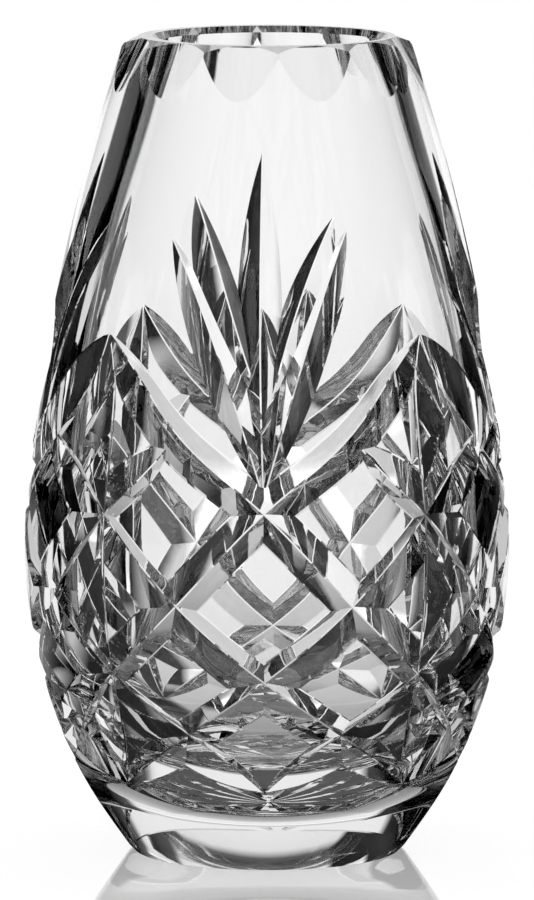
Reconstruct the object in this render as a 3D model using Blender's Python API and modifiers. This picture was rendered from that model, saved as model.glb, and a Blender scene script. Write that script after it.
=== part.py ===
"""A bud vase of cut crystal: one piece of clear glass, blown thick, ground flat at both ends and cut.

Round the rim run twelve hollow flutes. Four upright mitre grooves divide the body into panels. Long
diagonal mitres rise from the foot through a band of diamonds and meet in a deep V in each panel, and
three of the four panels hold a fan of five tapering wheel cuts above the V.

Metres, +Z up, the origin at the middle of the flat foot. An azimuth is measured from the front, -Y,
towards +X. Every cut follows the outer profile, so a change of size carries the pattern with it.
"""

import math

import bmesh
import bpy
import numpy as np

MM = 0.001

# Overall sizes
HEIGHT = 150 * MM
BELLY_RADIUS = 44.5 * MM
BELLY_HEIGHT = 57 * MM

# The side between foot, belly and rim: shares of the way up, and shares of the radius gained or lost
SWELL_TO_BELLY = ((0.18, 0.395), (0.47, 0.76), (0.73, 0.938), (1.0, 1.0))
FALL_TO_RIM = ((0.215, 0.09), (0.455, 0.281), (0.70, 0.56), (1.0, 1.0))

# Foot
FOOT_RADIUS = 24.5 * MM
FOOT_BEVEL = 1.1 * MM

# Rim and mouth
RIM_RADIUS = 26.0 * MM
RIM_BEVEL_WIDTH = 2.3 * MM
RIM_BEVEL_DROP = 1.7 * MM
RIM_WALL = 5.6 * MM
MOUTH_ROUNDING = 0.6 * MM

# Walls
BELLY_WALL = 6.7 * MM
SHOULDER_WALL = 6.1 * MM
NECK_WALL = 6.5 * MM
FLOOR_THICKNESS = 13 * MM
BOWL_SHAPE = ((0.014, 0.33), (0.073, 0.53), (0.27, 0.80), (0.61, 0.965), (1.0, 1.0))
SHOULDER_SHARE = 0.68
NECK_SHARE = 0.84

# Flutes under the rim
FLUTE_COUNT = 12
FLUTE_TURN = math.radians(4.4)
FLUTE_DEPTH = 2.6 * MM
FLUTE_LENGTH = 9.6 * MM
FLUTE_HOLLOW_RADIUS = 40 * MM

# Mitre grooves
PANEL_COUNT = 4
PATTERN_TURN = math.radians(-1.0)
PATTERN_ABOVE_BELLY = 41.7 * MM
FOOT_BAND = 15 * MM
LATTICE_ROWS = 6
LAST_ROW_SHARE = 0.5
GROOVE_DEPTH = 3.2 * MM
GROOVE_EASING = 0.15 * MM
GROOVE_HALF_ANGLE = math.radians(50)
GROOVE_RUN_OUT = 14 * MM

# Fans
FAN_PANELS = (0, 1, 3)
FAN_BELOW_RIM = 19.4 * MM
FAN_ABOVE_V = 3.0 * MM
BLADE_DEPTH = 3.4 * MM
INNER_BLADE_SPREAD = math.radians(21.5)
OUTER_BLADE_SPREAD = math.radians(26.0)
INNER_TIP_DROP = 0.13
INNER_FOOT_RISE = 0.31
OUTER_TIP_DROP = 0.23

# Fineness of the solid
TURNING_STEPS = 64
UPPER_SIDE_STEPS = 9
LOWER_SIDE_STEPS = 7
CAVITY_STEPS = 9
FLUTE_STEPS = 6
STEPS_PER_ROW = 4
BLADE_STEPS = 8
CUTTER_LIFT = 3 * MM
CUTTER_EXIT = 0.2 * MM
FLUTE_OVERRUN = 4 * MM
FLUTE_CUTTER_THICKNESS = 9 * MM
FLUTE_CUTTER_MARGIN = 1.15
SEAM_MERGE = 0.01 * MM

COLLECTION_NAME = "bud_vase"
BODY_NAME = "cut_crystal_body"


def clear_scene():
    """Take every object out of the scene."""
    for obj in list(bpy.data.objects):
        bpy.data.objects.remove(obj, do_unlink=True)


def new_collection(name, hidden):
    """Add a collection to the scene, left out of renders where it is hidden."""
    collection = bpy.data.collections.new(name)
    collection.hide_render = hidden
    bpy.context.scene.collection.children.link(collection)
    return collection


def new_object(name, mesh, collection):
    """Put a mesh into an object of its own."""
    obj = bpy.data.objects.new(name, mesh)
    collection.objects.link(obj)
    return obj


def natural_spline(knots, values):
    """The smooth curve through (knots, values) with free ends, as a function of the knot coordinate."""
    knots = np.asarray(knots, float)
    values = np.asarray(values, float)
    gaps = np.diff(knots)
    slopes = np.diff(values) / gaps
    count = len(knots)
    matrix = np.eye(count)
    right = np.zeros(count)
    for i in range(1, count - 1):
        matrix[i, i - 1 : i + 2] = gaps[i - 1], 2 * (gaps[i - 1] + gaps[i]), gaps[i]
        right[i] = 6 * (slopes[i] - slopes[i - 1])
    bends = np.linalg.solve(matrix, right)

    def curve(at):
        i = int(np.clip(np.searchsorted(knots, at) - 1, 0, count - 2))
        before = at - knots[i]
        after = knots[i + 1] - at
        return (
            (bends[i] * after**3 + bends[i + 1] * before**3) / (6 * gaps[i])
            + (values[i] / gaps[i] - bends[i] * gaps[i] / 6) * after
            + (values[i + 1] / gaps[i] - bends[i + 1] * gaps[i] / 6) * before
        )

    return curve


def outer_profile():
    """Outer radius of the uncut body against height, from the top of the foot's bevel to the rim."""
    swell = BELLY_RADIUS - FOOT_RADIUS
    fall = BELLY_RADIUS - RIM_RADIUS
    rise = HEIGHT - BELLY_HEIGHT
    heights = [FOOT_BEVEL]
    radii = [FOOT_RADIUS + FOOT_BEVEL]
    for part, gained in SWELL_TO_BELLY:
        heights.append(FOOT_BEVEL + part * (BELLY_HEIGHT - FOOT_BEVEL))
        radii.append(FOOT_RADIUS + gained * swell)
    for part, lost in FALL_TO_RIM:
        heights.append(BELLY_HEIGHT + part * rise)
        radii.append(BELLY_RADIUS - lost * fall)
    return natural_spline(heights, radii)


OUTER = outer_profile()


def cavity_points():
    """(radius, height) points up the cavity, from the rounded floor to the mouth."""
    belly = BELLY_RADIUS - BELLY_WALL
    radii = []
    heights = []
    for part, gained in BOWL_SHAPE:
        heights.append(FLOOR_THICKNESS + part * (BELLY_HEIGHT - FLOOR_THICKNESS))
        radii.append(gained * belly)
    for part, wall in ((SHOULDER_SHARE, SHOULDER_WALL), (NECK_SHARE, NECK_WALL)):
        heights.append(BELLY_HEIGHT + part * (HEIGHT - BELLY_HEIGHT))
        radii.append(OUTER(heights[-1]) - wall)
    heights.append(HEIGHT - MOUTH_ROUNDING)
    radii.append(RIM_RADIUS - RIM_WALL)
    cavity = natural_spline(heights, radii)
    side = np.linspace(heights[2], heights[-1], CAVITY_STEPS)
    return [(cavity(height), height) for height in (*heights[:2], *side)]


def turned_outline():
    """Half section of the blank: up the cavity, across the rim, down the side and across the foot."""
    upper_side = np.linspace(HEIGHT - RIM_BEVEL_DROP, BELLY_HEIGHT, UPPER_SIDE_STEPS)
    lower_side = np.linspace(BELLY_HEIGHT, FOOT_BEVEL, LOWER_SIDE_STEPS)
    outline = [(0.0, FLOOR_THICKNESS)]
    outline += cavity_points()
    outline.append((RIM_RADIUS - RIM_WALL + MOUTH_ROUNDING, HEIGHT))
    outline.append((RIM_RADIUS - RIM_BEVEL_WIDTH, HEIGHT))
    outline += [(OUTER(height), height) for height in (*upper_side, *lower_side[1:])]
    outline.append((FOOT_RADIUS, 0.0))
    outline.append((0.0, 0.0))
    return outline


def turn_blank(collection):
    """The uncut blank, turned about the upright axis."""
    outline = turned_outline()
    mesh = bpy.data.meshes.new(BODY_NAME)
    points = [(radius, 0.0, height) for radius, height in outline]
    mesh.from_pydata(points, [(i, i + 1) for i in range(len(points) - 1)], [])
    blank = new_object(BODY_NAME, mesh, collection)
    screw = blank.modifiers.new("turned", "SCREW")
    screw.steps = TURNING_STEPS
    screw.render_steps = TURNING_STEPS
    screw.use_merge_vertices = True
    screw.merge_threshold = SEAM_MERGE
    return blank


def on_side(azimuth, height):
    """Point of the uncut side at an azimuth and height, with its outward normal."""
    step = 0.05 * MM
    slope = (OUTER(height + step) - OUTER(height - step)) / (2 * step)
    outward = np.array([math.sin(azimuth), -math.cos(azimuth), 0.0])
    point = outward * OUTER(height)
    point[2] = height
    normal = outward - np.array([0.0, 0.0, slope])
    return point, normal / np.linalg.norm(normal)


def mesh_from_sections(name, sections):
    """A closed loft through sections of equal length, capped at both ends."""
    count = len(sections[0])
    cage = bmesh.new()
    rings = [[cage.verts.new(corner) for corner in section] for section in sections]
    for ring, following in zip(rings, rings[1:]):
        for i in range(count):
            j = (i + 1) % count
            cage.faces.new((ring[i], ring[j], following[j], following[i]))
    cage.faces.new(rings[0])
    cage.faces.new(rings[-1])
    bmesh.ops.recalc_face_normals(cage, faces=cage.faces)
    bmesh.ops.triangulate(cage, faces=cage.faces)
    mesh = bpy.data.meshes.new(name)
    cage.to_mesh(mesh)
    cage.free()
    return mesh


def groove_cutter(name, route, depths, collection):
    """A V-shaped cutter whose edge follows a route of (azimuth, height) at the given depths."""
    spots = [on_side(azimuth, height) for azimuth, height in route]
    points = np.array([point for point, _ in spots])
    along = np.gradient(points, axis=0)
    sections = []
    for (point, normal), direction, depth in zip(spots, along, depths):
        across = np.cross(direction, normal)
        across /= np.linalg.norm(across)
        half_width = (depth + CUTTER_LIFT) * math.tan(GROOVE_HALF_ANGLE)
        crest = point + normal * CUTTER_LIFT
        sections.append((point - normal * depth, crest + across * half_width, crest - across * half_width))
    return new_object(name, mesh_from_sections(name, sections), collection)


def row_curve():
    """Height of the pattern against row number: the rows of crossings close up towards the foot."""
    top = BELLY_HEIGHT + PATTERN_ABOVE_BELLY
    bottom = FOOT_BEVEL + FOOT_BAND
    spacing = np.linspace(1.0, LAST_ROW_SHARE, LATTICE_ROWS)
    dropped = np.concatenate([[0.0], np.cumsum(spacing)]) / spacing.sum()
    return natural_spline(range(LATTICE_ROWS + 1), top - (top - bottom) * dropped)


ROW_HEIGHT = row_curve()
V_ROW = 2
PANEL = math.tau / PANEL_COUNT


def run_out_depths(route, full_depth):
    """Depth along a route: full in the middle, and rising to nothing at both ends as a wheel leaves."""
    points = np.array([on_side(azimuth, height)[0] for azimuth, height in route])
    walked = np.concatenate([[0.0], np.cumsum(np.linalg.norm(np.diff(points, axis=0), axis=1))])
    to_end = np.minimum(walked, walked[-1] - walked)
    share = np.clip(1 - to_end / GROOVE_RUN_OUT, 0, 1)
    return full_depth * (1 - share**2) - CUTTER_EXIT * (share == 1)


def upright_route(azimuth):
    """Route of an upright mitre down the edge between two panels."""
    rows = np.linspace(0, LATTICE_ROWS, 2 * LATTICE_ROWS)
    return [(azimuth, ROW_HEIGHT(row)) for row in rows]


def diagonal_route(start, first_row, way):
    """Route of a diagonal mitre, which drops one row in each quarter of a panel."""
    rows = LATTICE_ROWS - first_row
    parts = np.linspace(0, rows, rows * STEPS_PER_ROW)
    return [(start + way * PANEL / 4 * part, ROW_HEIGHT(first_row + part)) for part in parts]


def cut_lattice(collection):
    """The mitres: right-handed diagonals first, then left-handed, then upright, each eased a little."""
    grooves = []
    for i in range(PANEL_COUNT):
        edge = PATTERN_TURN + PANEL * (i + 0.5)
        grooves.append((f"upright_mitre_{i}", upright_route(edge), 2))
        for order, (side, way) in enumerate((("right", 1), ("left", -1))):
            grooves.append((f"long_mitre_{side}_{i}", diagonal_route(edge, 0, way), order))
            grooves.append((f"short_mitre_{side}_{i}", diagonal_route(edge - way * PANEL / 4, 1, way), order))
    cutters = []
    for name, route, order in grooves:
        depths = run_out_depths(route, GROOVE_DEPTH - order * GROOVE_EASING)
        cutters.append(groove_cutter(name, route, depths, collection))
    return cutters


def blade_route(centre, spread, tip_drop, foot_rise):
    """Route of a fan blade, whose ends lie shares of the middle blade's length inside that blade's ends."""
    foot = ROW_HEIGHT(V_ROW) + FAN_ABOVE_V
    length = HEIGHT - FAN_BELOW_RIM - foot
    parts = np.linspace(0, 1, BLADE_STEPS + 1)
    tip = foot + length * (1 - tip_drop)
    end = foot + length * foot_rise
    return [(centre + spread * (1 - part), tip + (end - tip) * part) for part in parts]


def cut_fans(collection):
    """A fan of five wheel cuts, each deepest halfway along, above the V of each decorated panel."""
    share = np.linspace(-1, 1, BLADE_STEPS + 1)
    depths = BLADE_DEPTH * (1 - share**2) - CUTTER_EXIT * (np.abs(share) == 1)
    cutters = []
    for panel in FAN_PANELS:
        centre = PATTERN_TURN + PANEL * panel
        routes = {"middle": blade_route(centre, 0.0, 0.0, 0.0)}
        for way, side in ((-1, "left"), (1, "right")):
            inner = blade_route(centre, way * INNER_BLADE_SPREAD, INNER_TIP_DROP, INNER_FOOT_RISE)
            outer = blade_route(centre, way * OUTER_BLADE_SPREAD, OUTER_TIP_DROP, 0.0)
            routes[f"{side}_inner"] = inner
            routes[f"{side}_outer"] = outer
        for label, route in routes.items():
            cutters.append(groove_cutter(f"blade_{label}_{panel}", route, depths, collection))
    return cutters


def flute_section(azimuth, height, radius, half_width):
    """Cross-section of one flute cutter: a shallow hollow facing the axis, closed off outside the body."""
    outward = np.array([math.sin(azimuth), -math.cos(azimuth), 0.0])
    across = np.array([math.cos(azimuth), math.sin(azimuth), 0.0])
    middle = outward * radius + np.array([0.0, 0.0, height])
    offsets = np.linspace(-half_width, half_width, FLUTE_STEPS + 1)
    section = [middle + across * at + outward * at**2 / (2 * FLUTE_HOLLOW_RADIUS) for at in offsets]
    section.append(middle + across * half_width + outward * FLUTE_CUTTER_THICKNESS)
    section.append(middle - across * half_width + outward * FLUTE_CUTTER_THICKNESS)
    return section


def cut_flutes(collection):
    """Hollow flutes under the rim, deepest at the top and fading out on the shoulder."""
    top_radius = RIM_RADIUS - FLUTE_DEPTH
    slope = (OUTER(HEIGHT - FLUTE_LENGTH) - top_radius) / FLUTE_LENGTH
    bend = 1 / RIM_RADIUS + 1 / FLUTE_HOLLOW_RADIUS
    half_width = FLUTE_CUTTER_MARGIN * math.sqrt(2 * FLUTE_DEPTH / bend)
    cutters = []
    for i in range(FLUTE_COUNT):
        azimuth = FLUTE_TURN + math.tau * (i + 0.5) / FLUTE_COUNT
        sections = []
        for drop in (-FLUTE_OVERRUN, FLUTE_LENGTH + FLUTE_OVERRUN):
            sections.append(flute_section(azimuth, HEIGHT - drop, top_radius + slope * drop, half_width))
        cutters.append(new_object(f"flute_{i}", mesh_from_sections(f"flute_{i}", sections), collection))
    return cutters


def clear_crystal():
    """Polished clear lead crystal."""
    material = bpy.data.materials.new("clear_crystal")
    material.use_nodes = True
    shader = material.node_tree.nodes["Principled BSDF"]
    shader.inputs["Base Color"].default_value = (0.95, 0.96, 0.97, 1.0)
    shader.inputs["Roughness"].default_value = 0.02
    shader.inputs["Metallic"].default_value = 0.0
    shader.inputs["IOR"].default_value = 1.54
    shader.inputs["Transmission Weight"].default_value = 1.0
    return material


def main():
    clear_scene()
    parts = new_collection(COLLECTION_NAME, hidden=False)
    cuts = new_collection("cutters", hidden=True)
    body = turn_blank(parts)
    cutters = cut_lattice(cuts) + cut_fans(cuts) + cut_flutes(cuts)
    for cutter in cutters:
        cutter.hide_render = True
        cutter.display_type = "WIRE"
        cut = body.modifiers.new(cutter.name, "BOOLEAN")
        cut.operation = "DIFFERENCE"
        cut.solver = "EXACT"
        cut.object = cutter
    body.data.materials.append(clear_crystal())


main()
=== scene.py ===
"""The looks of a cut-crystal bud vase: one piece of clear glass with a fluted rim, fans and a diamond band.

Metres, +Z up, the origin at the middle of the flat foot. An azimuth is measured from the front, -Y,
towards +X, as in the frame. The pattern is cut into the turned blank groove by groove, as on the wheel.
"""

import math

import bpy
import numpy as np
from mathutils import Matrix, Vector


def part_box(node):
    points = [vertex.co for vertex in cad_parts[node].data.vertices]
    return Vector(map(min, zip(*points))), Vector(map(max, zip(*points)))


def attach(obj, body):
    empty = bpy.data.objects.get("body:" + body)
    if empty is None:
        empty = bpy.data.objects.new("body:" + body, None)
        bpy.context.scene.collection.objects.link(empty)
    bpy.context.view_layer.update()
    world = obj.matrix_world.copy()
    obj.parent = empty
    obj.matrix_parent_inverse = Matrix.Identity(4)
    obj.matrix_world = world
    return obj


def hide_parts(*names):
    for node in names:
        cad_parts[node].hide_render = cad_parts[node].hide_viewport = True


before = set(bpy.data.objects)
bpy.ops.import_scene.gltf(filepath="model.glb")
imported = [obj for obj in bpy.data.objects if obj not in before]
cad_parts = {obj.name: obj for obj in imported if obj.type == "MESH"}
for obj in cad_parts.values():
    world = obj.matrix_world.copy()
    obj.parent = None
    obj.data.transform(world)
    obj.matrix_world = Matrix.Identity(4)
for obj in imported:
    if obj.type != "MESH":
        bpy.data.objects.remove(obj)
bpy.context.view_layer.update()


# The blank. Clear lead crystal, blown thick and turned true: a rounded cavity with a heavy floor,
# a flat ground rim bevelled inside and outside, an egg-shaped side, and a flat foot with a small bevel.

MM = 0.001
low_corner, high_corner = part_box("cut_crystal_body")
HEIGHT = high_corner.z
BELLY_RADIUS = 44.5 * MM
BELLY_HEIGHT = 57 * MM
SWELL_TO_BELLY = ((0.18, 0.395), (0.47, 0.76), (0.73, 0.938), (1.0, 1.0))
FALL_TO_RIM = ((0.215, 0.09), (0.455, 0.281), (0.70, 0.56), (1.0, 1.0))
FOOT_RADIUS = 24.5 * MM
FOOT_BEVEL = 1.1 * MM
RIM_RADIUS = 26.0 * MM
RIM_BEVEL_WIDTH = 2.64 * MM
RIM_BEVEL_DROP = 1.3 * MM
RIM_WALL = 5.6 * MM
MOUTH_BEVEL = 1.15 * MM
BELLY_WALL = 6.7 * MM
SHOULDER_WALL = 6.1 * MM
NECK_WALL = 6.5 * MM
FLOOR_THICKNESS = 13 * MM
BOWL_SHAPE = ((0.030, 0.33), (0.090, 0.53), (0.27, 0.80), (0.61, 0.965), (1.0, 1.0))
SHOULDER_SHARE = 0.68
NECK_SHARE = 0.84
CAVITY_TO_THE_RIGHT = 0.6 * MM
RING_SPACING = 1.5 * MM
CAVITY_FLOOR_RINGS = 12
SEGMENTS = 240


def natural_spline(knots, values):
    """The smooth curve through (knots, values): cubic pieces whose bends match, and vanish at both ends."""
    knots = np.asarray(knots, float)
    values = np.asarray(values, float)
    gaps = np.diff(knots)
    slopes = np.diff(values) / gaps
    matrix = np.eye(len(knots))
    inner = np.arange(1, len(knots) - 1)
    matrix[inner, inner - 1] = gaps[:-1]
    matrix[inner, inner] = 2 * (gaps[:-1] + gaps[1:])
    matrix[inner, inner + 1] = gaps[1:]
    bends = np.linalg.solve(matrix, np.concatenate([[0.0], 6 * np.diff(slopes), [0.0]]))

    def curve(at):
        i = np.clip(np.searchsorted(knots, at) - 1, 0, len(knots) - 2)
        before = at - knots[i]
        after = knots[i + 1] - at
        return (
            (bends[i] * after**3 + bends[i + 1] * before**3) / (6 * gaps[i])
            + (values[i] / gaps[i] - bends[i] * gaps[i] / 6) * after
            + (values[i + 1] / gaps[i] - bends[i + 1] * gaps[i] / 6) * before
        )

    return curve


def side_curve():
    """Outer radius of the uncut side against height, from the foot's bevel through the belly to the rim."""
    up = [(FOOT_BEVEL + part * (BELLY_HEIGHT - FOOT_BEVEL), part, gained) for part, gained in SWELL_TO_BELLY]
    heights = [FOOT_BEVEL] + [height for height, _, _ in up]
    radii = [FOOT_RADIUS + FOOT_BEVEL]
    radii += [FOOT_RADIUS + gained * (BELLY_RADIUS - FOOT_RADIUS) for _, _, gained in up]
    heights += [BELLY_HEIGHT + part * (HEIGHT - BELLY_HEIGHT) for part, _ in FALL_TO_RIM]
    radii += [BELLY_RADIUS - lost * (BELLY_RADIUS - RIM_RADIUS) for _, lost in FALL_TO_RIM]
    return natural_spline(heights, radii)


outer_radius = side_curve()


def cavity_curve():
    """Radius of the cavity against height, from just above its floor to the mouth."""
    belly = BELLY_RADIUS - BELLY_WALL
    heights = [FLOOR_THICKNESS + part * (BELLY_HEIGHT - FLOOR_THICKNESS) for part, _ in BOWL_SHAPE]
    radii = [gained * belly for _, gained in BOWL_SHAPE]
    for part, wall in ((SHOULDER_SHARE, SHOULDER_WALL), (NECK_SHARE, NECK_WALL)):
        heights.append(BELLY_HEIGHT + part * (HEIGHT - BELLY_HEIGHT))
        radii.append(outer_radius(heights[-1]) - wall)
    heights.append(HEIGHT - MOUTH_BEVEL)
    radii.append(RIM_RADIUS - RIM_WALL)
    return heights[0], natural_spline(heights, radii)


def evenly(low, high, spacing):
    """Heights from low to high, about a spacing apart."""
    return np.linspace(low, high, max(2, int(round(abs(high - low) / spacing)) + 1))


def blank_outline():
    """Half section of the blank: up the cavity, over the rim, down the side, to the foot.

    Each point is (radius, height, distance to the right). A blown cavity is never quite central, so the
    rings of this one lie to the right.
    """
    floor_edge, cavity = cavity_curve()
    floor_radius = cavity(floor_edge)
    share = np.linspace(0, 1, CAVITY_FLOOR_RINGS)
    floor_radii = floor_radius * share
    floor = np.column_stack([floor_radii, FLOOR_THICKNESS + (floor_edge - FLOOR_THICKNESS) * share**2])
    inside = evenly(floor_edge, HEIGHT - MOUTH_BEVEL, RING_SPACING)[1:]
    wall = np.column_stack([cavity(inside), inside])
    side = evenly(HEIGHT - RIM_BEVEL_DROP, FOOT_BEVEL, RING_SPACING)
    outside = np.column_stack([outer_radius(side), side])
    rim = [(RIM_RADIUS - RIM_WALL + MOUTH_BEVEL, HEIGHT), (RIM_RADIUS - RIM_BEVEL_WIDTH, HEIGHT)]
    foot = [(FOOT_RADIUS, 0.0), (0.0, 0.0)]
    outline = np.vstack([floor, wall, rim, outside, foot])
    aside = np.zeros(len(outline))
    aside[: len(floor) + len(wall) + 1] = CAVITY_TO_THE_RIGHT
    return np.column_stack([outline, aside])


def signed_volume(mesh):
    """Six times the volume in a closed mesh, the sum of a . (b x c): negative if its faces point inwards."""
    mesh.calc_loop_triangles()
    points = np.empty(len(mesh.vertices) * 3)
    mesh.vertices.foreach_get("co", points)
    corners = np.empty(len(mesh.loop_triangles) * 3, np.int32)
    mesh.loop_triangles.foreach_get("vertices", corners)
    triangles = points.reshape(-1, 3)[corners.reshape(-1, 3)]
    return np.einsum("ij,ij->", triangles[:, 0], np.cross(triangles[:, 1], triangles[:, 2]))


def closed_mesh(name, points, faces):
    """A closed mesh from an array of points and lists of faces, turned to face outwards."""
    mesh = bpy.data.meshes.new(name)
    mesh.from_pydata(points.tolist(), [], faces)
    if signed_volume(mesh) < 0:
        mesh.flip_normals()
    mesh.update()
    return mesh


def added(name, mesh):
    """A new object that holds a mesh, in the scene."""
    obj = bpy.data.objects.new(name, mesh)
    bpy.context.scene.collection.objects.link(obj)
    return obj


def turned(name, outline, segments):
    """Surface (aside + radius sin a, -radius cos a, height) of s, a once round, closed at each pole."""
    rings = outline[1:-1]
    angle = np.arange(segments) * math.tau / segments
    grid = np.empty((len(rings), segments, 3))
    grid[..., 0] = rings[:, None, 2] + rings[:, None, 0] * np.sin(angle)
    grid[..., 1] = -rings[:, None, 0] * np.cos(angle)
    grid[..., 2] = rings[:, None, 1]
    poles = [(outline[0, 2], 0.0, outline[0, 1]), (outline[-1, 2], 0.0, outline[-1, 1])]
    points = np.vstack([grid.reshape(-1, 3), poles])
    column = np.arange(segments)
    following = (column + 1) % segments
    row = (np.arange(len(rings) - 1) * segments)[:, None]
    next_row = row + segments
    quads = np.stack([row + column, row + following, next_row + following, next_row + column], -1)
    first_pole = len(points) - 2
    last_row = (len(rings) - 1) * segments
    start = np.stack([np.full(segments, first_pole), following, column], -1)
    end = np.stack([np.full(segments, first_pole + 1), last_row + column, last_row + following], -1)
    return closed_mesh(name, points, quads.reshape(-1, 4).tolist() + start.tolist() + end.tolist())


blank = added("blank", turned("blank", blank_outline(), SEGMENTS))


# The mitre grooves. A wheel with a V edge cuts each one, deepest along the middle and running out
# where it lifts off: four upright ones between the panels, and the diagonals that cross into diamonds.

PATTERN_TURN = math.radians(-0.8)
PANEL_COUNT = 4
ROW_HEIGHTS = np.array([98.6, 80.6, 66.2, 50.0, 36.0, 25.2, 16.1]) * MM
V_LIFT = 1.6 * MM
V_ROW = 2
V_LIFT_ROWS = 0.8
MITRE_DEPTH = 3.2 * MM
MITRE_EASING = 0.06 * MM
MITRE_HALF_ANGLE = math.radians(50)
MITRE_RUN_OUT = 15 * MM
MITRE_EDGE_WIDTH = 0.3 * MM
EASED_DEPTH = 0.08 * MM
EASED_ANGLE = math.radians(72)
SIDE_BEND = 55 * MM
ROUTE_POINTS = 400
STATION_SPACING = 1.2 * MM
FEWEST_STATIONS = 6
WHEEL_LIFT = 3 * MM
WHEEL_EXIT = 0.15 * MM
ROWS = len(ROW_HEIGHTS) - 1
row_height = natural_spline(np.arange(ROWS + 1), ROW_HEIGHTS)


def on_side(azimuth, height):
    """Points (R sin a, -R cos a, z) of the uncut side, and its unit normals along (sin a, -cos a, -R')."""
    step = 0.05 * MM
    slope = (outer_radius(height + step) - outer_radius(height - step)) / (2 * step)
    outward = np.column_stack([np.sin(azimuth), -np.cos(azimuth), np.zeros_like(height)])
    points = outward * outer_radius(height)[:, None]
    points[:, 2] = height
    normals = outward - np.column_stack([np.zeros_like(slope), np.zeros_like(slope), slope])
    return points, normals / np.linalg.norm(normals, axis=1)[:, None]


def walked(points):
    """Distance along a row of points, from the first."""
    return np.concatenate([[0.0], np.cumsum(np.linalg.norm(np.diff(points, axis=0), axis=1))])


def wheel_cut(name, azimuth, height, depth_at, half_angle=MITRE_HALF_ANGLE, lean=0.0):
    """A V-edged wheel's path: a narrow-nosed V, square to the route, its nose depth_at(distance) deep.

    Under the surface, at the eased depth and the side's own fall x squared / (2 R), the V opens wider.
    """
    fine = np.linspace(0, 1, ROUTE_POINTS)
    route, _ = on_side(azimuth(fine), height(fine))
    distance = walked(route)
    count = max(FEWEST_STATIONS, int(distance[-1] / STATION_SPACING))
    stations = np.linspace(0, distance[-1], count)
    at = np.interp(stations, distance, fine)
    points, normals = on_side(azimuth(at), height(at))
    along = np.gradient(points, axis=0)
    across = np.cross(along, normals)
    across /= np.linalg.norm(across, axis=1)[:, None]
    tilted = normals * math.cos(lean) + across * math.sin(lean)
    across = across * math.cos(lean) - normals * math.sin(lean)
    depth = depth_at(stations, distance[-1])
    nose = MITRE_EDGE_WIDTH / 2
    fall = (depth * math.tan(half_angle)) ** 2 / (2 * SIDE_BEND)
    steep = np.maximum(depth - EASED_DEPTH - fall, 0)
    shoulder_reach = nose + steep * math.tan(half_angle)
    crest_reach = shoulder_reach + (depth + WHEEL_LIFT - steep) * math.tan(EASED_ANGLE)
    bottom = points - normals * depth[:, None]
    shoulder = bottom + tilted * steep[:, None]
    crest = bottom + tilted * (depth + WHEEL_LIFT)[:, None]
    section = np.stack(
        [
            bottom - across * nose,
            bottom + across * nose,
            shoulder + across * shoulder_reach[:, None],
            crest + across * crest_reach[:, None],
            crest - across * crest_reach[:, None],
            shoulder - across * shoulder_reach[:, None],
        ],
        axis=1,
    )
    return loft(name, section)


def loft(name, sections):
    """A closed skin over sections of equal length, with a flat face at each end."""
    count, corners = sections.shape[:2]
    column = np.arange(corners)
    following = (column + 1) % corners
    row = (np.arange(count - 1) * corners)[:, None]
    next_row = row + corners
    quads = np.stack([row + column, row + following, next_row + following, next_row + column], -1)
    faces = quads.reshape(-1, 4).tolist()
    faces.append(column[::-1].tolist())
    faces.append(((count - 1) * corners + column).tolist())
    return added(name, closed_mesh(name, sections.reshape(-1, 3), faces))


def mitre_depth(full_depth):
    """Depth along a groove: full in the middle, and falling at both ends as the square of the way out."""

    def depth(distance, length):
        to_end = np.minimum(distance, length - distance)
        share = np.clip(1 - to_end / MITRE_RUN_OUT, 0, 1)
        return full_depth * (1 - share**2) - WHEEL_EXIT * share**8

    return depth


def upright_mitre(panel):
    """Straight down the edge between two panels."""
    edge = PATTERN_TURN + math.tau * (panel + 0.5) / PANEL_COUNT
    return wheel_cut(
        f"upright_mitre_{panel}",
        lambda part: np.full_like(part, edge),
        lambda part: row_height(part * ROWS),
        mitre_depth(MITRE_DEPTH - 2 * MITRE_EASING),
    )


def diagonal_mitre(name, start, first_row, way, order):
    """A quarter of a panel sideways for each row down, from a row at the edge of a panel."""
    rows = ROWS - first_row
    lift = V_LIFT if first_row == 0 else 0.0

    def height(part):
        row = first_row + part * rows
        return row_height(row) + lift * np.exp(-(((row - V_ROW) / V_LIFT_ROWS) ** 2))

    return wheel_cut(
        name,
        lambda part: start + way * part * rows * math.tau / PANEL_COUNT / 4,
        height,
        mitre_depth(MITRE_DEPTH - order * MITRE_EASING),
    )


cuts = []
for panel in range(PANEL_COUNT):
    edge = PATTERN_TURN + math.tau * (panel + 0.5) / PANEL_COUNT
    cuts.append(upright_mitre(panel))
    for order, (side, way) in enumerate((("right", 1), ("left", -1))):
        quarter = way * math.tau / PANEL_COUNT / 4
        cuts.append(diagonal_mitre(f"long_mitre_{side}_{panel}", edge, 0, way, order))
        cuts.append(diagonal_mitre(f"short_mitre_{side}_{panel}", edge - quarter, 1, way, order))


# The fans. Five strokes of the same wheel above the V of three panels, each deepest halfway along:
# a tall middle blade, and two on each side that bow out and narrow to a point at both ends. For each blade:
# how far the wheel leans to the left, in degrees, and three spots as (degrees from the middle, mm up).

FAN_PANELS = (0, 1, 3)
FRONT_FAN_RISE = 1.8 * MM
BLADE_DEPTH = 3.5 * MM
FAN_BLADES = {
    "middle": (0, (-0.6, 130.2), (-1.2, 100.0), (0.0, 69.5)),
    "inner_left": (10, (-21.6, 122.4), (-8.4, 99.5), (-0.4, 85.0)),
    "outer_left": (-6, (-27.6, 114.6), (-12.4, 93.0), (-0.2, 69.5)),
    "inner_right": (-10, (21.2, 118.6), (9.5, 102.0), (1.2, 84.0)),
    "outer_right": (6, (24.7, 116.2), (13.0, 97.0), (0.2, 69.5)),
}


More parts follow.
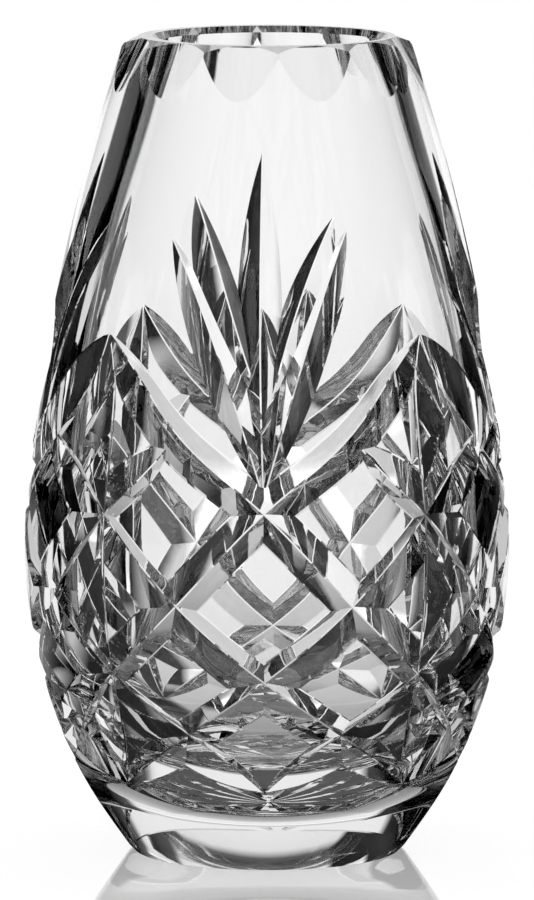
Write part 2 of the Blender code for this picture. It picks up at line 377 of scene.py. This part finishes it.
def blade_route(centre, rise, spots):
    """The bowed line through three spots of (degrees from the middle, mm up), as functions from 0 to 1."""
    degrees, millimetres = np.array(spots).T
    share = (millimetres[0] - millimetres[1]) / (millimetres[0] - millimetres[2])
    turn = np.polyfit([0, share, 1], centre + np.radians(degrees), 2)
    return (
        lambda part: np.polyval(turn, part),
        lambda part: (millimetres[0] + (millimetres[2] - millimetres[0]) * part) * MM + rise,
    )


def blade_depth(distance, length):
    """Depth along a blade: greatest halfway, and falling to both tips as the square of the way out."""
    share = 2 * distance / length - 1
    return BLADE_DEPTH * (1 - share**2) - WHEEL_EXIT * share**8


for panel in FAN_PANELS:
    centre = PATTERN_TURN + math.tau * panel / PANEL_COUNT
    rise = FRONT_FAN_RISE if panel == 0 else 0.0
    for label, (lean, *spots) in FAN_BLADES.items():
        azimuth, height = blade_route(centre, rise, spots)
        name = f"blade_{label}_{panel}"
        cuts.append(wheel_cut(name, azimuth, height, blade_depth, lean=math.radians(lean)))


# The flutes. Twelve shallow hollows ground side by side round the rim, each sloping in towards the top.

FLUTE_COUNT = 12
FLUTE_TURN = math.radians(4.4)
FLUTE_DEPTH = 2.6 * MM
FLUTE_LENGTH = 9.6 * MM
FLUTE_HOLLOW_RADIUS = 20 * MM
FLUTE_OVERRUN = 4 * MM
FLUTE_REACH = 9 * MM
FLUTE_MARGIN = 1.15
FLUTE_COLUMNS = 25
FLUTE_ROWS = 14


def flute(number):
    """A slanting trough: points across it sag outwards by x squared over twice the hollow's radius."""
    azimuth = FLUTE_TURN + math.tau * (number + 0.5) / FLUTE_COUNT
    outward = np.array([math.sin(azimuth), -math.cos(azimuth), 0.0])
    sideways = np.array([math.cos(azimuth), math.sin(azimuth), 0.0])
    half_width = FLUTE_MARGIN * math.sqrt(2 * FLUTE_DEPTH / (1 / RIM_RADIUS + 1 / FLUTE_HOLLOW_RADIUS))
    x = np.linspace(-half_width, half_width, FLUTE_COLUMNS)
    drop = np.linspace(-FLUTE_OVERRUN, FLUTE_LENGTH + FLUTE_OVERRUN, FLUTE_ROWS)
    top_radius = RIM_RADIUS - FLUTE_DEPTH
    slope = (outer_radius(HEIGHT - FLUTE_LENGTH) - top_radius) / FLUTE_LENGTH
    radius = top_radius + slope * drop
    hollow = radius[:, None, None] * outward + (x**2 / (2 * FLUTE_HOLLOW_RADIUS))[None, :, None] * outward
    hollow = hollow + x[None, :, None] * sideways
    hollow[..., 2] = HEIGHT - drop[:, None]
    back = (radius + FLUTE_REACH)[:, None] * outward
    back[:, 2] = HEIGHT - drop
    corners = np.stack([back + half_width * sideways, back - half_width * sideways], axis=1)
    return loft(f"flute_{number}", np.concatenate([hollow, corners], axis=1))


cuts += [flute(number) for number in range(FLUTE_COUNT)]


# The star. Mitres under the foot that run side by side from its middle and narrow to a point near its edge.
# The photo shows it through the base, as streaks that meet low down in the middle.

STAR_RAYS = 16
STAR_DEPTH = 1.0 * MM
STAR_RADIUS = 22.5 * MM
STAR_HALF_ANGLE = math.radians(68)
STAR_STATIONS = 18
STAR_START = 0.02
STAR_FULLNESS = 2.6


def star_ray(number):
    """A groove under the foot, fullness times STAR_DEPTH times (s less s cubed) deep, s the way out."""
    azimuth = PATTERN_TURN + math.tau * (number + 0.5) / STAR_RAYS
    outward = np.array([math.sin(azimuth), -math.cos(azimuth), 0.0])
    sideways = np.array([math.cos(azimuth), math.sin(azimuth), 0.0])
    share = np.linspace(STAR_START, 1, STAR_STATIONS)
    depth = STAR_FULLNESS * STAR_DEPTH * (share - share**3) - WHEEL_EXIT * share**8
    ridge = STAR_RADIUS * share[:, None] * outward
    ridge[:, 2] = depth
    below = STAR_RADIUS * share[:, None] * outward
    below[:, 2] = -WHEEL_LIFT
    reach = ((depth + WHEEL_LIFT) * math.tan(STAR_HALF_ANGLE))[:, None] * sideways
    return loft(f"star_ray_{number}", np.stack([ridge, below + reach, below - reach], axis=1))


cuts += [star_ray(number) for number in range(STAR_RAYS)]


# The finished body: the blank with every cut taken out of it, polished in acid until the cuts are as
# clear as the plain glass. It stands for the whole CAD body.

CREASE_ANGLE = math.radians(12)
DEEPEST_CUT = 4.5 * MM
RIPPLE_SIZE = 2.6 * MM
RIPPLE_HEIGHT = 0.008 * MM
RIPPLE_FULL_DEPTH = 0.3 * MM
CRYSTAL_IOR = 1.54
LOST_PER_METRE = 3.0


def cut_away(blank, cutters):
    """Takes all the cutters out of the blank at once, and keeps the result as a plain mesh."""
    wheel_cuts = bpy.data.collections.new("wheel_cuts")
    for cutter in cutters:
        wheel_cuts.objects.link(cutter)
    cut = blank.modifiers.new("cuts", "BOOLEAN")
    cut.operation = "DIFFERENCE"
    cut.solver = "MANIFOLD"
    cut.operand_type = "COLLECTION"
    cut.collection = wheel_cuts
    graph = bpy.context.evaluated_depsgraph_get()
    mesh = bpy.data.meshes.new_from_object(blank.evaluated_get(graph))
    for helper in (blank, *cutters):
        bpy.data.objects.remove(helper)
    bpy.data.collections.remove(wheel_cuts)
    return mesh


crystal_mesh = cut_away(blank, cuts)
crystal_mesh.name = "crystal_body"
crystal_body = added("crystal_body", crystal_mesh)
crystal_mesh.shade_smooth()
crystal_mesh.set_sharp_from_angle(angle=CREASE_ANGLE)


def linear(hex_colour):
    """An sRGB hex colour as linear red, green, blue and one."""
    levels = np.array([int(hex_colour[i : i + 2], 16) for i in (1, 3, 5)]) / 255
    levels = np.where(levels <= 0.04045, levels / 12.92, ((levels + 0.055) / 1.055) ** 2.4)
    return (*levels, 1.0)


def add_node(tree, kind, settings=(), inputs=(), links=()):
    """Adds a node, with its settings, its sockets' values, and links into them from (node, output)."""
    node = tree.nodes.new(kind)
    for key, value in dict(settings).items():
        setattr(node, key, value)
    for key, value in dict(inputs).items():
        node.inputs[key].default_value = value
    for key, (source, output) in dict(links).items():
        tree.links.new(source.outputs[output], node.inputs[key])
    return node


def clear_tree(owner):
    """The node tree of a material or world, emptied."""
    owner.use_nodes = True
    owner.node_tree.nodes.clear()
    return owner.node_tree


def mark_cut_depth(mesh):
    """Stores how deep each point lies under the uncut side, R(z) - r, and nought off the panels' cuts.

    The flutes and the star count as off the panels, because they are ground smooth.
    """
    points = np.empty(len(mesh.vertices) * 3)
    mesh.vertices.foreach_get("co", points)
    points = points.reshape(-1, 3)
    depth = outer_radius(np.maximum(points[:, 2], FOOT_BEVEL)) - np.hypot(points[:, 0], points[:, 1])
    off_panels = (points[:, 2] < FOOT_BEVEL / 2) | (points[:, 2] > HEIGHT - FLUTE_LENGTH)
    depth[(depth > DEEPEST_CUT) | (depth < 0) | off_panels] = 0
    mesh.attributes.new("cut_depth", "FLOAT", "POINT").data.foreach_set("value", depth)


mark_cut_depth(crystal_mesh)


def polished_lead_crystal():
    """Lead crystal, acid polished: clear, heavy and bright, with a refractive index near 1.54.

    The blown surface is smooth. The acid leaves the cut facets faintly rippled. The glass itself takes up
    about 3 percent of the light in each centimetre, which darkens the long ways through foot and sides.
    """
    material = bpy.data.materials.new("polished_lead_crystal")
    tree = clear_tree(material)
    place = add_node(tree, "ShaderNodeTexCoord")
    ripple = add_node(
        tree,
        "ShaderNodeTexNoise",
        inputs={"Scale": 1 / RIPPLE_SIZE, "Detail": 1.0},
        links={"Vector": (place, "Object")},
    )
    depth = add_node(tree, "ShaderNodeAttribute", {"attribute_name": "cut_depth"})
    on_cuts = add_node(
        tree,
        "ShaderNodeMapRange",
        inputs={"From Max": RIPPLE_FULL_DEPTH},
        links={"Value": (depth, "Fac")},
    )
    uneven = add_node(
        tree,
        "ShaderNodeMath",
        {"operation": "MULTIPLY"},
        links={0: (ripple, "Fac"), 1: (on_cuts, "Result")},
    )
    surface = add_node(
        tree,
        "ShaderNodeBump",
        inputs={"Strength": 1.0, "Distance": RIPPLE_HEIGHT},
        links={"Height": (uneven, "Value")},
    )
    glass = add_node(
        tree,
        "ShaderNodeBsdfPrincipled",
        inputs={
            "Base Color": linear("#FEFEFE"),
            "Roughness": 0.0,
            "IOR": CRYSTAL_IOR,
            "Transmission Weight": 1.0,
        },
        links={"Normal": (surface, "Normal")},
    )
    inner = add_node(
        tree,
        "ShaderNodeVolumeAbsorption",
        inputs={"Color": linear("#000000"), "Density": LOST_PER_METRE},
    )
    add_node(
        tree,
        "ShaderNodeOutputMaterial",
        links={"Surface": (glass, "BSDF"), "Volume": (inner, "Volume")},
    )
    return material


crystal_mesh.materials.clear()
crystal_mesh.materials.append(polished_lead_crystal())
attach(crystal_body, "root")
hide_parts("cut_crystal_body")


# The set: a white sweep behind the vase, black cloth on both sides of it, a dim room on the near side, and
# two round lamps at the vase's own height, far out to the left and the right. The tables give greys by the
# azimuth, 0 being straight behind the vase and positive to the right, and by the elevation, in degrees.

NEAR_SIDE_FROM = 120
AROUND = (
    (-180, 0.3),
    (-NEAR_SIDE_FROM, 0.3),
    (-108, 0.0),
    (-26, 0.0),
    (-24.5, 1.0),
    (30.5, 1.0),
    (33, 0.12),
    (42, 0.0),
    (108, 0.0),
    (NEAR_SIDE_FROM, 0.3),
    (180, 0.3),
)
UPWARDS = (
    (-90, 1.0),
    (8.6, 1.0),
    (9.6, 1.42),
    (10.9, 1.42),
    (11.5, 0.7),
    (18, 0.7),
    (21, 1.0),
    (40, 1.0),
    (46, 0.15),
    (60, 0.06),
    (90, 0.06),
)
SWEEP_STRENGTH = 1.09
LAMP_RADIUS = 13
LAMP_EDGE = 1
LAMP_STRENGTH = 0.8
NO_DIFFUSE_BOUNCE = 0.5
GLASS_BOUNCES = 32
MIRROR_BOUNCES = 16


def grey_ramp(tree, stops, reading, unit):
    """A ramp of greys through (place, grey) stops, read at a number that is in the given unit."""
    low, high = stops[0][0], stops[-1][0]
    place = add_node(
        tree,
        "ShaderNodeMapRange",
        inputs={"From Min": low * unit, "From Max": high * unit},
        links={"Value": reading},
    )
    ramp = add_node(tree, "ShaderNodeValToRGB", links={"Fac": (place, "Result")})
    elements = ramp.color_ramp.elements
    for position, _ in stops[1:-1]:
        elements.new((position - low) / (high - low))
    for element, (_, grey) in zip(elements, stops):
        element.color = (grey, grey, grey, 1.0)
    return ramp


def cloths_around(tree, split, greys):
    """The greys round about, by the azimuth of a direction or of a place on the floor."""
    azimuth = add_node(
        tree,
        "ShaderNodeMath",
        {"operation": "ARCTAN2"},
        links={0: (split, "X"), 1: (split, "Y")},
    )
    return grey_ramp(tree, greys, (azimuth, "Value"), math.radians(1))


def studio():
    """Plain white for the eye and for matt surfaces, and the set's lights and cloths for the glass."""
    world = bpy.data.worlds.new("studio")
    tree = clear_tree(world)
    direction = add_node(tree, "ShaderNodeTexCoord")
    split = add_node(tree, "ShaderNodeSeparateXYZ", links={"Vector": (direction, "Generated")})
    elevation = add_node(tree, "ShaderNodeMath", {"operation": "ARCSINE"}, links={0: (split, "Z")})
    upwards = grey_ramp(tree, UPWARDS, (elevation, "Value"), math.radians(1))
    around = cloths_around(tree, split, AROUND)
    cloths = add_node(
        tree,
        "ShaderNodeMath",
        {"operation": "MULTIPLY"},
        links={0: (around, "Color"), 1: (upwards, "Color")},
    )
    sweep = add_node(
        tree,
        "ShaderNodeMath",
        {"operation": "MULTIPLY"},
        inputs={1: SWEEP_STRENGTH},
        links={0: (cloths, "Value")},
    )
    sideways = add_node(tree, "ShaderNodeMath", {"operation": "ABSOLUTE"}, links={0: (split, "X")})
    lamps = add_node(
        tree,
        "ShaderNodeMapRange",
        inputs={
            "From Min": math.cos(math.radians(LAMP_RADIUS + LAMP_EDGE)),
            "From Max": math.cos(math.radians(LAMP_RADIUS)),
            "To Max": LAMP_STRENGTH,
        },
        links={"Value": (sideways, "Value")},
    )
    in_glass = add_node(
        tree,
        "ShaderNodeMath",
        {"operation": "MAXIMUM"},
        links={0: (sweep, "Value"), 1: (lamps, "Result")},
    )
    rays = add_node(tree, "ShaderNodeLightPath")
    glass = add_node(
        tree,
        "ShaderNodeMath",
        {"operation": "MAXIMUM"},
        links={0: (rays, "Is Glossy Ray"), 1: (rays, "Is Transmission Ray")},
    )
    sharp = add_node(
        tree,
        "ShaderNodeMath",
        {"operation": "LESS_THAN"},
        inputs={1: NO_DIFFUSE_BOUNCE},
        links={0: (rays, "Diffuse Depth")},
    )
    share = add_node(
        tree,
        "ShaderNodeMath",
        {"operation": "MULTIPLY"},
        links={0: (glass, "Value"), 1: (sharp, "Value")},
    )
    brightness = add_node(
        tree,
        "ShaderNodeMix",
        {"data_type": "FLOAT"},
        inputs={"A": 1.0},
        links={"Factor": (share, "Value"), "B": (in_glass, "Value")},
    )
    light = add_node(tree, "ShaderNodeBackground", links={"Color": (brightness, "Result")})
    add_node(tree, "ShaderNodeOutputWorld", links={"Surface": (light, "Background")})
    return world


bpy.context.scene.world = studio()
cycles = bpy.context.scene.cycles
cycles.max_bounces = GLASS_BOUNCES
cycles.transmission_bounces = GLASS_BOUNCES
cycles.glossy_bounces = MIRROR_BOUNCES


# The floor: a white lacquered table top, flat and glossy, that mirrors the vase at a low angle, with a
# shadow painted round the foot. What the glass sees of it is painted light and shade, given out and not
# lit: bright along the sweep, pale on the near side, dim under the foot and by the cloths, with a pale patch
# painted on it behind the vase to the left. Its tables give greys by the distance from the middle of the
# vase, in millimetres.

FLOOR_RADIUS = 1.2
FLOOR_SEGMENTS = 128
AIR_UNDER_FOOT = 0.02 * MM
FLOOR_THICKNESS_BELOW = 0.01
FLOOR_OWN_WHITE = 0.75
# A painted shadow on the floor's own white for the eye: darker out to 60 mm round the foot, gone by 110 mm.
FLOOR_PAINTED_SHADOW = ((0, 0.62), (60, 0.62), (110, 1.0), (600, 1.0))
LACQUER_IOR = 1.5
LACQUER_ROUGHNESS = 0.02
# Painted light and shade on the floor for the glass, by the distance from the middle: dark near the foot,
# bright far out.
FLOOR_PAINTED_LIGHT = (
    (0, 0.1),
    (23.5, 0.1),
    (24.5, 0.35),
    (60, 0.6),
    (200, 0.85),
    (450, 1.0),
    (1200, 1.09),
)
# Painted light for the glass by azimuth: pale on the near side, and dark where the set has its cloths.
FLOOR_PAINTED_NEAR_SIDE = 0.65
FLOOR_PAINTED_AROUND = [
    (azimuth, FLOOR_PAINTED_NEAR_SIDE if abs(azimuth) >= NEAR_SIDE_FROM else grey) for azimuth, grey in AROUND
]
# A painted shade under the foot, as the glass sees the floor there.
PAINTED_SHADE_UNDER_FOOT = 0.09
# A pale patch of painted light on the floor behind the vase to the left, seen only by the glass.
PAINTED_PATCH_PLACE = (-0.15, 0.15, 0.0)
PAINTED_PATCH_RADIUS = 0.11
PAINTED_PATCH_EDGE = 0.08
PAINTED_PATCH_LIGHT = 0.6


def white_lacquer_with_painted_light():
    """Polished white lacquer on board: matt white under a clear skin that mirrors more at a low angle.

    It has a shadow painted round the foot, and what the glass sees of it is painted light and shade.
    """
    material = bpy.data.materials.new("white_lacquer_with_painted_light")
    tree = clear_tree(material)
    rays = add_node(tree, "ShaderNodeLightPath")
    place = add_node(tree, "ShaderNodeTexCoord")
    out = add_node(tree, "ShaderNodeVectorMath", {"operation": "LENGTH"}, links={0: (place, "Object")})
    board = add_node(tree, "ShaderNodeBsdfDiffuse", inputs={"Color": linear("#FBFBFB")})
    # For the eye, the given-out part of the floor's white carries the painted shadow round the foot.
    painted_shadow = grey_ramp(tree, FLOOR_PAINTED_SHADOW, (out, "Value"), MM)
    white = add_node(tree, "ShaderNodeEmission", links={"Color": (painted_shadow, "Color")})
    own_white = add_node(
        tree,
        "ShaderNodeMath",
        {"operation": "MULTIPLY"},
        inputs={1: FLOOR_OWN_WHITE},
        links={0: (rays, "Is Camera Ray")},
    )
    seen = add_node(
        tree,
        "ShaderNodeMixShader",
        links={0: (own_white, "Value"), 1: (board, "BSDF"), 2: (white, "Emission")},
    )
    skin = add_node(
        tree,
        "ShaderNodeBsdfGlossy",
        inputs={"Color": linear("#FFFFFF"), "Roughness": LACQUER_ROUGHNESS},
    )
    grazing = add_node(tree, "ShaderNodeFresnel", inputs={"IOR": LACQUER_IOR})
    lacquer = add_node(
        tree,
        "ShaderNodeMixShader",
        links={0: (grazing, "Fac"), 1: (seen, "Shader"), 2: (skin, "BSDF")},
    )

    # What the glass sees of the floor is painted light and shade, given out: greys by distance times greys
    # by azimuth.
    split = add_node(tree, "ShaderNodeSeparateXYZ", links={"Vector": (place, "Object")})
    painted_light = grey_ramp(tree, FLOOR_PAINTED_LIGHT, (out, "Value"), MM)
    around = cloths_around(tree, split, FLOOR_PAINTED_AROUND)
    sweep = add_node(
        tree,
        "ShaderNodeMath",
        {"operation": "MULTIPLY"},
        links={0: (around, "Color"), 1: (painted_light, "Color")},
    )
    # The pale patch of painted light behind the vase to the left.
    to_painted_patch = add_node(
        tree,
        "ShaderNodeVectorMath",
        {"operation": "DISTANCE"},
        inputs={1: PAINTED_PATCH_PLACE},
        links={0: (place, "Object")},
    )
    painted_patch = add_node(
        tree,
        "ShaderNodeMapRange",
        inputs={"From Min": PAINTED_PATCH_RADIUS, "From Max": PAINTED_PATCH_RADIUS - PAINTED_PATCH_EDGE, "To Max": PAINTED_PATCH_LIGHT},
        links={"Value": (to_painted_patch, "Value")},
    )
    # The painted shade under the foot.
    painted_shade_area = add_node(
        tree,
        "ShaderNodeMath",
        {"operation": "LESS_THAN"},
        inputs={1: FOOT_RADIUS},
        links={0: (out, "Value")},
    )
    painted_dark_under_foot = add_node(
        tree,
        "ShaderNodeMath",
        {"operation": "MULTIPLY"},
        inputs={1: PAINTED_SHADE_UNDER_FOOT},
        links={0: (painted_shade_area, "Value")},
    )
    sweep_or_painted_patch = add_node(
        tree,
        "ShaderNodeMath",
        {"operation": "MAXIMUM"},
        links={0: (sweep, "Value"), 1: (painted_patch, "Result")},
    )
    in_glass = add_node(
        tree,
        "ShaderNodeMath",
        {"operation": "MAXIMUM"},
        links={0: (sweep_or_painted_patch, "Value"), 1: (painted_dark_under_foot, "Value")},
    )
    # The painted light and shade, given out for the glass in place of the lit lacquer.
    painted_light_in_glass = add_node(tree, "ShaderNodeEmission", links={"Color": (in_glass, "Value")})
    glass = add_node(
        tree,
        "ShaderNodeMath",
        {"operation": "MAXIMUM"},
        links={0: (rays, "Is Glossy Ray"), 1: (rays, "Is Transmission Ray")},
    )
    both = add_node(
        tree,
        "ShaderNodeMixShader",
        links={0: (glass, "Value"), 1: (lacquer, "Shader"), 2: (painted_light_in_glass, "Emission")},
    )
    add_node(tree, "ShaderNodeOutputMaterial", links={"Surface": (both, "Shader")})
    return material


floor_outline = [(0.0, -AIR_UNDER_FOOT, 0.0), (FLOOR_RADIUS, -AIR_UNDER_FOOT, 0.0)]
floor_outline += [(FLOOR_RADIUS, -FLOOR_THICKNESS_BELOW, 0.0), (0.0, -FLOOR_THICKNESS_BELOW, 0.0)]
floor = added("floor", turned("floor", np.array(floor_outline), FLOOR_SEGMENTS))
floor.data.materials.append(white_lacquer_with_painted_light())


# The camera stands 1.6 m in front of the vase and looks down on it by 7.5 degrees.

CAMERA_DISTANCE = 1.5829
CAMERA_HEIGHT = 0.2832
CAMERA_TILT = math.radians(7.537)
FOCAL_PIXELS = 8706
FRAME_HEIGHT = 900
SENSOR_HEIGHT = 36.0

camera_data = bpy.data.cameras.new("camera")
camera_data.sensor_fit = "VERTICAL"
camera_data.sensor_height = SENSOR_HEIGHT
camera_data.lens = FOCAL_PIXELS / FRAME_HEIGHT * SENSOR_HEIGHT
camera = added("camera", camera_data)
camera.matrix_world = Matrix.Translation((0, -CAMERA_DISTANCE, CAMERA_HEIGHT)) @ Matrix.Rotation(
    math.pi / 2 - CAMERA_TILT, 4, "X"
)
bpy.context.scene.camera = camera
bpy.context.scene.view_settings.view_transform = "Standard"
